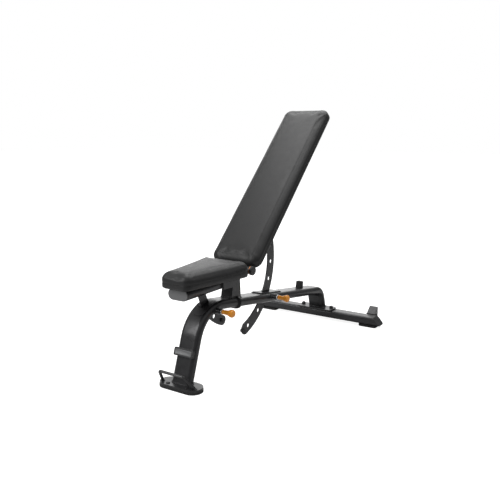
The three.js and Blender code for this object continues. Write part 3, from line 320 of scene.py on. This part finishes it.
node_slot = {part["node"]: part["material_slot"] for part in frame["record"]["subparts"]}
for node_name, node_object in frame["nodes"].items():
    slot_name = node_slot[node_name]
    dress(node_object, slot_name, EASED_EDGES.get(slot_name, PLAIN_EDGE))

# ---- Mesh helpers ----


def piece(name, vertices, faces, body, look, slot=None):
    mesh = bpy.data.meshes.new(name)
    mesh.from_pydata([tuple(v) for v in vertices], [], [tuple(f) for f in faces])
    mesh.validate()
    obj = bpy.data.objects.new(name, mesh)
    bpy.context.scene.collection.objects.link(obj)
    fix_normals(mesh)
    mesh.shade_smooth()
    mesh.materials.append(FINISHES[look])
    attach(obj, body)
    return obj


def fix_normals(mesh):
    work = bmesh.new()
    work.from_mesh(mesh)
    bmesh.ops.recalc_face_normals(work, faces=work.faces)
    work.to_mesh(mesh)
    work.free()


def skin(rings, loop=False):
    """Faces over rings of equally many points: with closed ends, or joined into a loop."""
    count, size = len(rings), len(rings[0])
    vertices = [p for r in rings for p in r]
    faces = []
    for k in range(count if loop else count - 1):
        low, high = k * size, ((k + 1) % count) * size
        for i in range(size):
            j = (i + 1) % size
            faces.append((low + i, low + j, high + j, high + i))
    if not loop:
        faces.append(tuple(range(size))[::-1])
        faces.append(tuple((count - 1) * size + i for i in range(size)))
    return vertices, faces


def resample(points, step, closed):
    """Points evenly spaced along a line, about a step apart."""
    points = [Vector(p) for p in points]
    if closed:
        points.append(points[0])
    lengths = [0.0]
    for a, b in zip(points, points[1:]):
        lengths.append(lengths[-1] + (b - a).length)
    count = max(3, round(lengths[-1] / step))
    marks = [lengths[-1] * k / count for k in range(count if closed else count + 1)]
    out, i = [], 0
    for mark in marks:
        while i < len(lengths) - 2 and lengths[i + 1] < mark:
            i += 1
        span = lengths[i + 1] - lengths[i]
        share = 0 if span < 1e-12 else (mark - lengths[i]) / span
        out.append(points[i].lerp(points[i + 1], share))
    return out


def tube_rings(points, radius_at, closed, sides=8):
    """A round section about each point of a line, turned as little as the line allows."""
    rings, side = [], None
    count = len(points)
    for k, point in enumerate(points):
        ahead = points[(k + 1) % count] if closed or k < count - 1 else point
        behind = points[k - 1] if closed or k > 0 else point
        way = (ahead - behind).normalized()
        if side is None:
            side = way.orthogonal().normalized()
        side = (side - way * side.dot(way)).normalized()
        other = way.cross(side)
        radius = radius_at(k)
        rings.append(
            [
                point + (side * math.cos(a) + other * math.sin(a)) * radius
                for a in (2 * math.pi * i / sides for i in range(sides))
            ]
        )
    return rings


BEAD_STEP = 1.3 * MM
BEAD_RIPPLE = 4  # steps from one ripple to the next
RIPPLE_DEPTH = 0.13


def bead(points, radius, closed=False):
    """A weld bead along a line, rippled as it was laid."""
    line = resample(points, BEAD_STEP, closed)
    count = len(line)

    def radius_at(k):
        ripple = 1 + RIPPLE_DEPTH * math.cos(2 * math.pi * (k % BEAD_RIPPLE) / BEAD_RIPPLE)
        wander = 1 + 0.06 * math.sin(0.37 * k) + 0.04 * math.sin(0.113 * k + 1)
        end = 1 if closed else min(1, 0.35 + 0.22 * min(k, count - 1 - k))
        return radius * MM * ripple * wander * end

    return skin(tube_rings(line, radius_at, closed), loop=closed)


def joined(parts):
    vertices, faces = [], []
    for part_vertices, part_faces in parts:
        start = len(vertices)
        vertices.extend(part_vertices)
        faces.extend(tuple(i + start for i in face) for face in part_faces)
    return vertices, faces


def weld(name, body, *beads):
    piece(name, *joined(beads), body, "frame_paint")


def racetrack(centre, u, v, width, height):
    """Points round a flat-oval tube section."""
    steps = 14
    radius = height / 2
    half = width / 2 - radius
    points = []
    for sign in (1, -1):
        for k in range(steps + 1):
            a = math.pi * (k / steps - sign / 2)
            points.append(
                centre + u * (sign * half + radius * math.cos(a)) + v * radius * math.sin(a)
            )
    return points


# ---- Welds ----


OFF_TUBE = 0.4  # from the tube's side to the middle of a bead
OFF_FACE = 0.9  # from the face of a plate that the tube ends on
OFF_SPINE = 0.6  # from the top of the spine


def section_bead(centre, way_across, height, radius):
    """A bead all round the tube where it meets a plate."""
    grow = 2 * OFF_TUBE
    points = racetrack(centre, ACROSS, way_across, TUBE_WIDTH + grow, height + grow)
    return bead(to_frame(points), radius, closed=True)


def rectangle_bead(place, half_u, v_from, v_to, n, radius):
    points = [(-half_u, v_from, n), (half_u, v_from, n), (half_u, v_to, n), (-half_u, v_to, n)]
    return bead(place(points), radius, closed=True)


collar_centre = spine_at(COLLAR_Y)
to_collar_face = spine_way * (COLLAR_LENGTH / 2 + OFF_FACE)
weld(
    "weld_collar", "frame",
    section_bead(collar_centre - to_collar_face, spine_up, TUBE_HEIGHT, 2.4),
    section_bead(collar_centre + to_collar_face, spine_up, TUBE_HEIGHT, 2.4),
)
leg_foot = along_to_height(CREST, leg_way, FOOT_TOP + OFF_FACE)
weld(
    "weld_leg_foot", "frame",
    section_bead(leg_foot, ALONG_FLOOR, TUBE_HEIGHT / leg_way[2], 2.8),
)
rear_foot = along_to_height(spine_at(REAR_CORNER_Y), rear_way, MOUNT_TOP + OFF_FACE)
weld(
    "weld_spine_mount", "frame",
    section_bead(rear_foot, ALONG_FLOOR, TUBE_HEIGHT / -rear_way[2], 2.6),
)


def on_spine(route):
    """Points on the top of the spine, given as x and y."""
    return to_frame(
        [spine_at(y) + spine_up * (TUBE_ROUND + OFF_SPINE) + ACROSS * x for x, y in route]
    )


TOWER_HALF = 30.6
BACK_GUIDE_HALF, BACK_GUIDE_FROM, BACK_GUIDE_TO = 31.2, 579, 754


def tower_bead(y_side, y_end):
    """From one side of the tower round its end to the other side."""
    half = TOWER_HALF
    return bead(on_spine([(-half, y_side), (-half, y_end), (half, y_end), (half, y_side)]), 2.2)


def back_guide_bead():
    half, start, end = BACK_GUIDE_HALF, BACK_GUIDE_FROM, BACK_GUIDE_TO
    return bead(on_spine([(-half, start), (half, start), (half, end), (-half, end)]), 1.8, closed=True)


weld("weld_tower", "frame", tower_bead(356, 322), tower_bead(374, 403))
weld("weld_back_guide", "frame", back_guide_bead())


def ring_points(centre, radius):
    steps = 24
    return [
        centre + np.array([radius * math.cos(a), radius * math.sin(a), 0])
        for a in (2 * math.pi * k / steps for k in range(steps))
    ]


HANDLE_X, HANDLE_Y, HANDLE_RADIUS = 86.0, -16.0, 7.4


def handle_bead(side):
    centre = np.array([side * HANDLE_X, HANDLE_Y, FOOT_TOP + 0.7])
    return bead(to_frame(ring_points(centre, HANDLE_RADIUS)), 1.9, closed=True)


weld("weld_handle", "frame", handle_bead(-1), handle_bead(1))

crest_turn = math.acos(float(leg_way @ spine_way))
crest_start = CREST - leg_way * CREST_RADIUS * math.tan(crest_turn / 2)
crest_centre = crest_start + yz(leg_way[2], -leg_way[1]) * CREST_RADIUS


def polar(radius, degrees):
    return PIVOT + yz(radius * math.cos(rad(degrees)), radius * math.sin(rad(degrees)))


back_pin = polar(331, -34.5)
seat_pin = polar(240.5, -142)
SLEEVE_RADIUS, SLEEVE_REACH = 14.6, 17.5


def spine_offset(point):
    """How far a point lies above the middle of the spine."""
    return float((point - CREST) @ spine_up)


def crest_offset(point):
    """How far a point lies outside the middle line of the bend at the crest."""
    return float(np.linalg.norm(point - crest_centre)) - CREST_RADIUS


def housing_bead(pin, offset):
    """Where a pin's sleeve meets the round side of the tube."""
    points = []
    for k in range(41):
        a = -math.pi * 1.5 + 2 * math.pi * k / 40
        point = pin + yz(SLEEVE_RADIUS * math.cos(a), SLEEVE_RADIUS * math.sin(a))
        height = offset(point)
        if abs(height) > SLEEVE_REACH:
            continue
        side = TUBE_WIDTH / 2 - TUBE_ROUND + OFF_TUBE + math.sqrt(TUBE_ROUND**2 - height**2)
        points.append(point + ACROSS * side)
    gap = max(range(len(points)), key=lambda i: np.linalg.norm(points[i] - points[i - 1]))
    return bead(to_frame(points[gap:] + points[:gap]), 1.9)


weld(
    "weld_pin_housings", "frame",
    housing_bead(back_pin, spine_offset),
    housing_bead(seat_pin, crest_offset),
)

BRACKET_Y = 1268.2
BRACKET_INNER, BRACKET_OUTER = 289.4, 334.6
BRACKET_LOW, BRACKET_HIGH = 31, 58.4


def bracket_bead(side):
    """Up one edge of a wheel bracket, across and down the other."""
    inner, outer = side * BRACKET_INNER, side * BRACKET_OUTER
    route = [(inner, BRACKET_LOW), (inner, BRACKET_HIGH), (outer, BRACKET_HIGH), (outer, BRACKET_LOW)]
    return bead(to_frame([(x, BRACKET_Y, z) for x, z in route]), 1.8)


weld("weld_wheel_brackets", "frame", bracket_bead(-1), bracket_bead(1))
weld("weld_back_arc", "back", rectangle_bead(back_place, 3.6, 292.3, 353.7, -72.7, 2.0))
weld("weld_seat_arc", "seat", rectangle_bead(seat_place, 3.6, -255.5, -207, -66.7, 2.0))


LUG_Y, LUG_MIDDLE, LUG_REACH = -151, -42, 15
SEAT_TUBE_FLAT_HALF, SEAT_TUBE_ROUND = 27.2, 24


def lug_bead(side):
    """Over the round side of the seat's tube, where a lug ends."""
    points = []
    for h in np.linspace(-LUG_REACH, LUG_REACH, 9):
        x = SEAT_TUBE_FLAT_HALF + math.sqrt(SEAT_TUBE_ROUND**2 - h * h)
        points.append((side * x, LUG_Y, LUG_MIDDLE + h))
    return bead(seat_place(points), 2.2)


weld("weld_seat_lugs", "seat", lug_bead(-1), lug_bead(1))

# ---- Upholstery ----


def pad_outline(corners, radius, inset, steps=8):
    """A convex outline with rounded corners, moved in by inset about the same corner centres."""
    corners = [np.array(c, float) for c in corners]
    points = []
    for i, corner in enumerate(corners):
        before = corner - corners[i - 1]
        after = corners[(i + 1) % len(corners)] - corner
        before, after = before / np.linalg.norm(before), after / np.linalg.norm(after)
        turn = math.acos(float(before @ after))
        start = math.atan2(-before[0], before[1])
        bisector = (after - before) / np.linalg.norm(after - before)
        centre = corner + bisector * radius / math.cos(turn / 2)
        for k in range(steps + 1):
            a = start + turn * k / steps
            points.append(centre + np.array([math.cos(a), math.sin(a)]) * (radius - inset))
    return points


def ring_at(place, corners, radius, inset, height, steps=8):
    return [place((u, v, height)) for u, v in pad_outline(corners, radius, inset, steps)]


SEAM_STEP = 2.0


class Pad:
    """The shape of one upholstered pad, in millimetres on its place.

    It has an outline with rounded corners, an underside and a face at heights low and high, a
    bevel so wide and so deep round the face, and a crown by which the face is raised in the middle.
    """

    def __init__(
        self, name, body, place, corners, corner, low, high, bevel, depth, crown, voxel
    ):
        self.name, self.body, self.place = name, body, place
        self.corners, self.corner = corners, corner
        self.low, self.high = low, high
        self.bevel, self.depth = bevel, depth
        self.crown, self.voxel = crown, voxel

    def ring(self, inset, height, steps=8):
        return ring_at(self.place, self.corners, self.corner, inset, height, steps)

    def profile(self):
        """(inset, height) from the underside out, up the side and over the bevel to the face."""
        face = self.high - self.crown
        levels = [(7, self.low), (2, self.low + 0.6), (-0.6, self.low + 5)]
        levels += [(-0.6, face - self.depth), (self.bevel * 0.40, face - self.depth * 0.40)]
        return levels + [(self.bevel, face - 0.4), (self.bevel + 6, face)]

    def base(self):
        """The cover's vertices and faces, with the crown in steps towards the middle line."""
        rings = [self.ring(inset, height) for inset, height in self.profile()]
        edge = rings[-1]
        middle = self.middle_line(edge)
        for share in (0.25, 0.5, 0.75, 0.95):
            rise = self.place.axes[2] * self.crown * (1 - (1 - share) ** 2) * MM
            rings.append([p + (m - p) * share + rise for p, m in zip(edge, middle)])
        return skin(rings)

    def middle_line(self, ring):
        """For each point of a ring, the nearest point of the pad's middle line."""
        axis = self.place.axes[1]
        ring = np.array(ring)
        centre = ring.mean(0)
        along = (ring - centre) @ axis
        reach = max(0.0, (along.max() - along.min()) / 2 - abs((ring - centre) @ ACROSS).max())
        return [centre + axis * float(np.clip(a, -reach, reach)) for a in along]

    def seam(self, inset, height):
        return resample(self.ring(inset, height, 16), SEAM_STEP * MM, closed=True)


def remesh(obj, size):
    modifier = obj.modifiers.new("remesh", "REMESH")
    modifier.mode = "VOXEL"
    modifier.voxel_size = size
    return baked(obj)


def baked(obj):
    """The object's mesh with its modifiers applied."""
    bpy.context.view_layer.update()
    graph = bpy.context.evaluated_depsgraph_get()
    mesh = bpy.data.meshes.new_from_object(obj.evaluated_get(graph))
    obj.modifiers.clear()
    old, obj.data = obj.data, mesh
    bpy.data.meshes.remove(old)
    return obj


def coordinates(mesh):
    flat = np.empty(len(mesh.vertices) * 3, np.float32)
    mesh.vertices.foreach_get("co", flat)
    return flat.reshape(-1, 3).astype(float)


def set_coordinates(mesh, points):
    mesh.vertices.foreach_set("co", np.asarray(points, np.float32).ravel())
    mesh.update()


CLOTH_FRAMES = 20
HELD_HEIGHT = 6  # above the underside


def inflate(obj, pad, most):
    """Swells the cover under pressure, held along the underside, by at most so much."""
    start = coordinates(obj.data)
    heights = (start / MM - (0, FLOOR_TO_FRAME, 0) - pad.place.origin) @ pad.place.axes[2]
    held = obj.vertex_groups.new(name="held")
    held.add([int(i) for i in np.nonzero(heights < pad.low + HELD_HEIGHT)[0]], 1.0, "REPLACE")
    cloth = obj.modifiers.new("cloth", "CLOTH")
    cloth.settings.vertex_group_mass = "held"
    cloth.settings.use_pressure = True
    cloth.settings.uniform_pressure_force = 4.0
    cloth.settings.tension_stiffness = 40
    cloth.settings.compression_stiffness = 40
    cloth.settings.bending_stiffness = 6
    cloth.settings.effector_weights.gravity = 0.0
    cloth.collision_settings.use_collision = False
    cloth.point_cache.frame_start, cloth.point_cache.frame_end = 1, CLOTH_FRAMES
    scene = bpy.context.scene
    for number in range(1, CLOTH_FRAMES + 1):
        scene.frame_set(number)
    baked(obj)
    moved = coordinates(obj.data) - start
    lengths = np.linalg.norm(moved, axis=1, keepdims=True)
    limit = most * MM * np.tanh(lengths / (most * MM)) / np.maximum(lengths, 1e-9)
    set_coordinates(obj.data, start + moved * limit)
    obj.vertex_groups.clear()
    scene.frame_set(1)


def sew(obj, line, depth, width):
    """Draws the cover in along a seam."""
    tree = KDTree(len(line))
    for i, point in enumerate(line):
        tree.insert(point, i)
    tree.balance()
    mesh = obj.data
    points = coordinates(mesh)
    normals = np.array([tuple(v.normal) for v in mesh.vertices])
    near = np.array([tree.find(v.co)[2] for v in mesh.vertices]) / MM
    pull = depth * np.exp(-((near / width) ** 2))
    set_coordinates(mesh, points - normals * (pull * MM)[:, None])


STITCH_PITCH, STITCH_LENGTH, THREAD_RADIUS = 6.5, 4.4, 0.45
STITCH_TAPER = (0.45, 0.9, 1, 0.9, 0.45)


def stitches(name, obj, body, lines):
    """Short threads that lie along each seam on the cover."""
    last = len(STITCH_TAPER) - 1
    surface = BVHTree.FromObject(obj, bpy.context.evaluated_depsgraph_get())
    parts = []
    for line in lines:
        marks = resample(line, STITCH_PITCH * MM, closed=True)
        for i, mark in enumerate(marks):
            way = (marks[(i + 1) % len(marks)] - mark).normalized()
            at, normal, _, _ = surface.find_nearest(mark)
            if at is None:
                continue
            points = []
            for k in range(last + 1):
                t = k / last - 0.5
                bow = 0.35 * THREAD_RADIUS * (1 - (2 * t) ** 2) + 0.25 * THREAD_RADIUS
                points.append(at + way * (t * STITCH_LENGTH * MM) + normal * (bow * MM))
            rings = tube_rings(points, lambda k: THREAD_RADIUS * MM * STITCH_TAPER[k], False, 6)
            parts.append(skin(rings))
    return piece(name, *joined(parts), body, "thread", slot="vinyl")


def pocket(obj, pad, inset, depth):
    """Cuts the room for the board out of the underside."""
    rings = [pad.ring(inset, pad.low - 4), pad.ring(inset, pad.low + depth)]
    mesh = bpy.data.meshes.new("tool")
    vertices, faces = skin(rings)
    mesh.from_pydata([tuple(v) for v in vertices], [], faces)
    fix_normals(mesh)
    tool = bpy.data.objects.new("tool", mesh)
    bpy.context.scene.collection.objects.link(tool)
    cutter = obj.modifiers.new("cut", "BOOLEAN")
    cutter.object = tool
    cutter.solver = "EXACT"
    baked(obj)
    bpy.data.objects.remove(tool)
    bpy.data.meshes.remove(mesh)


POCKET_INSET, POCKET_DEPTH = 7.7, 10.6


def upholster(pad, replaced, seams, most):
    """The finished cushion. Each seam is its inset and height, then how deep and wide it draws in."""
    vertices, faces = pad.base()
    cover = piece(pad.name, vertices, faces, pad.body, "vinyl")
    remesh(cover, pad.voxel * MM)
    smooth = cover.modifiers.new("smooth", "SMOOTH")
    smooth.factor, smooth.iterations = 0.5, 2
    baked(cover)
    inflate(cover, pad, most)
    finer = cover.modifiers.new("finer", "SUBSURF")
    finer.levels = finer.render_levels = 1
    baked(cover)
    for inset, height, depth, width in seams:
        sew(cover, pad.seam(inset, height), depth, width)
    sewn = [pad.seam(inset, height) for inset, height, _, _ in seams]
    stitches(f"{pad.name}_stitches", cover, pad.body, sewn)
    pocket(cover, pad, POCKET_INSET, POCKET_DEPTH)
    cover.data.shade_smooth()
    cover.data.materials.clear()
    cover.data.materials.append(FINISHES["vinyl"])
    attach(cover, pad.body)
    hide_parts(replaced)


seat_shape = Pad(
    "seat_cushion", "seat", seat_place,
    corners=[(-68, -414), (68, -414), (128, -40), (-128, -40)], corner=26,
    low=-16, high=54, bevel=20, depth=24, crown=3.0, voxel=4.5,
)
back_shape = Pad(
    "back_cushion", "back", back_place,
    corners=[(-131, 20), (131, 20), (131, 1005), (-131, 1005)], corner=45,
    low=-20, high=40, bevel=33, depth=22, crown=3.0, voxel=6.0,
)
upholster(
    seat_shape, "seat_pad",
    seams=[(20, 50.6, 0.9, 2.6), (0, 8, 1.4, 3.2)], most=3.0,
)
upholster(
    back_shape, "back_pad",
    seams=[(33, 36.6, 0.9, 3.2), (0, 2, 1.3, 3.6)], most=3.0,
)


STAPLE_PITCH, STAPLE_RADIUS, STAPLE_INSET = 32, 0.5, 18
TUBE_CLEAR_HALF = 62  # no staples where the pad's tube lies under the board


def staples(name, pad, height):
    """Staples that hold the cover and its dust cloth under the board."""
    parts = []
    marks = resample(pad.ring(STAPLE_INSET, height, 12), STAPLE_PITCH * MM, closed=True)
    for i, mark in enumerate(marks):
        if abs(mark.x) < TUBE_CLEAR_HALF * MM:
            continue
        way = (marks[(i + 1) % len(marks)] - mark).normalized()
        points = [mark + way * (t * MM) for t in (-5, -4.6, 4.6, 5)]
        rings = tube_rings(points, lambda k: STAPLE_RADIUS * MM * (0.5, 1, 1, 0.5)[k], False, 6)
        parts.append(skin(rings))
    piece(name, *joined(parts), pad.body, "steel")


staples("seat_board_staples", seat_shape, -18.0)
staples("back_board_staples", back_shape, -24.0)

# ---- Pull knobs ----
KNOB_START, KNOB_LENGTH = 82.1, 60
KNOB_PROFILE = [  # share of the length, radius, share of the flutes' depth
    (0.36, 0.0, 0), (0.36, 4.3, 0), (0.0, 4.3, 0), (0.0, 9.2, 0), (0.02, 10.0, 0), (0.07, 10.0, 0),
    (0.085, 9.4, 0), (0.11, 9.4, 0), (0.125, 10.0, 0), (0.28, 9.9, 0), (0.40, 10.4, 0.3),
    (0.50, 12.0, 0.7), (0.60, 14.4, 1), (0.68, 16.2, 1), (0.76, 17.3, 1), (0.82, 17.5, 1),
    (0.88, 17.1, 1), (0.93, 15.6, 0.8), (0.965, 13.2, 0.4), (0.985, 9.6, 0), (0.99, 5.0, 0),
    (0.985, 0.0, 0),
]
FLUTES, FLUTE_DEPTH = 8, 0.075
KNOB_SIDES = 64
AXIS_RADIUS = 0.05  # the ends close with a ring this small


def knob(name, body, centre, node):
    rings = []
    for share, radius, fluted in KNOB_PROFILE:
        x = KNOB_START + KNOB_LENGTH * share
        ring = []
        for k in range(KNOB_SIDES):
            a = 2 * math.pi * k / KNOB_SIDES
            dip = max(0.0, math.cos(FLUTES * a)) ** 2 * FLUTE_DEPTH * fluted
            r = max(radius, AXIS_RADIUS) * (1 - dip)
            ring.append(to_frame(centre + yz(r * math.cos(a), r * math.sin(a)) + ACROSS * x))
        rings.append(ring)
    made = piece(name, *skin(rings), body, "orange_plastic")
    ease = made.modifiers.new("ease", "SUBSURF")
    ease.levels = ease.render_levels = 1
    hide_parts(node)


knob("back_pin_grip", "back_pin", back_pin, "back_pin_knob")
knob("seat_pin_grip", "seat_pin", seat_pin, "seat_pin_knob")

# ---- Blank plate on the block in front of the leg ----
PLATE_HEIGHT = 139
PLATE_CORNERS = [(-43, -11), (43, -11), (43, 11), (-43, 11)]
PLATE_CORNER_RADIUS = 3
PLATE_PROFILE = ((0, 36.1), (0, 36.9), (0.5, 37.3), (2.2, 37.3), (2.7, 36.9))  # inset, height
plate_middle = along_to_height(CREST, leg_way, PLATE_HEIGHT)
plate_place = Place(plate_middle, ACROSS, leg_way, leg_front)
plate_rings = [
    ring_at(plate_place, PLATE_CORNERS, PLATE_CORNER_RADIUS, inset, height, 5)
    for inset, height in PLATE_PROFILE
]
piece("badge_plate", *skin(plate_rings), "frame", "grey_plastic")

# ---- Stage, light and camera ----
scene = bpy.context.scene
scene.view_settings.view_transform = "Standard"

FLOOR_HALF = 30
FLOOR_SEEN = 0.88  # what the camera sees the floor glow by; it lights nothing else
floor_corners = [(x * FLOOR_HALF, y * FLOOR_HALF, 0) for x, y in ((-1, -1), (1, -1), (1, 1), (-1, 1))]
floor_mesh = bpy.data.meshes.new("floor")
floor_mesh.from_pydata(floor_corners, [], [(0, 1, 2, 3)])
floor = bpy.data.objects.new("floor", floor_mesh)
scene.collection.objects.link(floor)
floor_look = bpy.data.materials.new("floor")
floor_look.use_nodes = True
floor_shader = floor_look.node_tree.nodes["Principled BSDF"]
floor_shader.inputs["Base Color"].default_value = (0.5, 0.5, 0.5, 1)
floor_shader.inputs["Roughness"].default_value = 1.0
floor_shader.inputs["Specular IOR Level"].default_value = 0.0
floor_shader.inputs["Emission Color"].default_value = (1, 1, 1, 1)
floor_nodes = Nodes(floor_look.node_tree)
seen_floor = floor_nodes.add("ShaderNodeLightPath").outputs["Is Camera Ray"]
floor_glow = floor_nodes.math("MULTIPLY", seen_floor, FLOOR_SEEN)
floor_nodes.put(floor_shader.inputs["Emission Strength"], floor_glow)
floor_mesh.materials.append(floor_look)

world = bpy.data.worlds.new("studio")
world.use_nodes = True
scene.world = world
sky = Nodes(world.node_tree)
backdrop = world.node_tree.nodes["Background"]
toward = sky.add("ShaderNodeTexCoord").outputs["Generated"]
up = sky.add("ShaderNodeSeparateXYZ", Vector=toward).outputs["Z"]
glow = sky.ranged(up, 0.1, 0.9, 0.06, 0.70)
seen = sky.add("ShaderNodeLightPath").outputs["Is Camera Ray"]
strength = sky.add("ShaderNodeMix", {"data_type": "FLOAT"}, Factor=seen, A=glow, B=1.0).outputs[0]
backdrop.inputs["Color"].default_value = (1, 1, 1, 1)
world.node_tree.links.new(strength, backdrop.inputs["Strength"])


def softbox(name, at, towards, size, power):
    light = bpy.data.lights.new(name, "AREA")
    light.shape, light.size, light.energy = "SQUARE", size, power
    box = bpy.data.objects.new(name, light)
    scene.collection.objects.link(box)
    box.location = at
    box.rotation_euler = (Vector(towards) - Vector(at)).to_track_quat("-Z", "Y").to_euler()
    box.visible_camera = False


softbox("key", (-1.3, -3.2, 2.4), (0, 0, 0.4), 2.0, 75)
softbox("top", (-0.2, 0.8, 3.4), (0, 0.1, 0.4), 3.0, 100)
softbox("back", (-2.4, 3.6, 1.5), (0, 0.2, 0.4), 3.6, 60)

CAMERA_TURN, CAMERA_DOWN = 33.4985, 10.7231  # degrees
camera = bpy.data.cameras.new("camera")
camera.sensor_width = 36
camera.lens = 44.37
eye = bpy.data.objects.new("camera", camera)
eye.location = (1.580, -2.496, 1.048)
eye.rotation_euler = (rad(90 - CAMERA_DOWN), 0, rad(CAMERA_TURN))
scene.collection.objects.link(eye)
scene.camera = eye
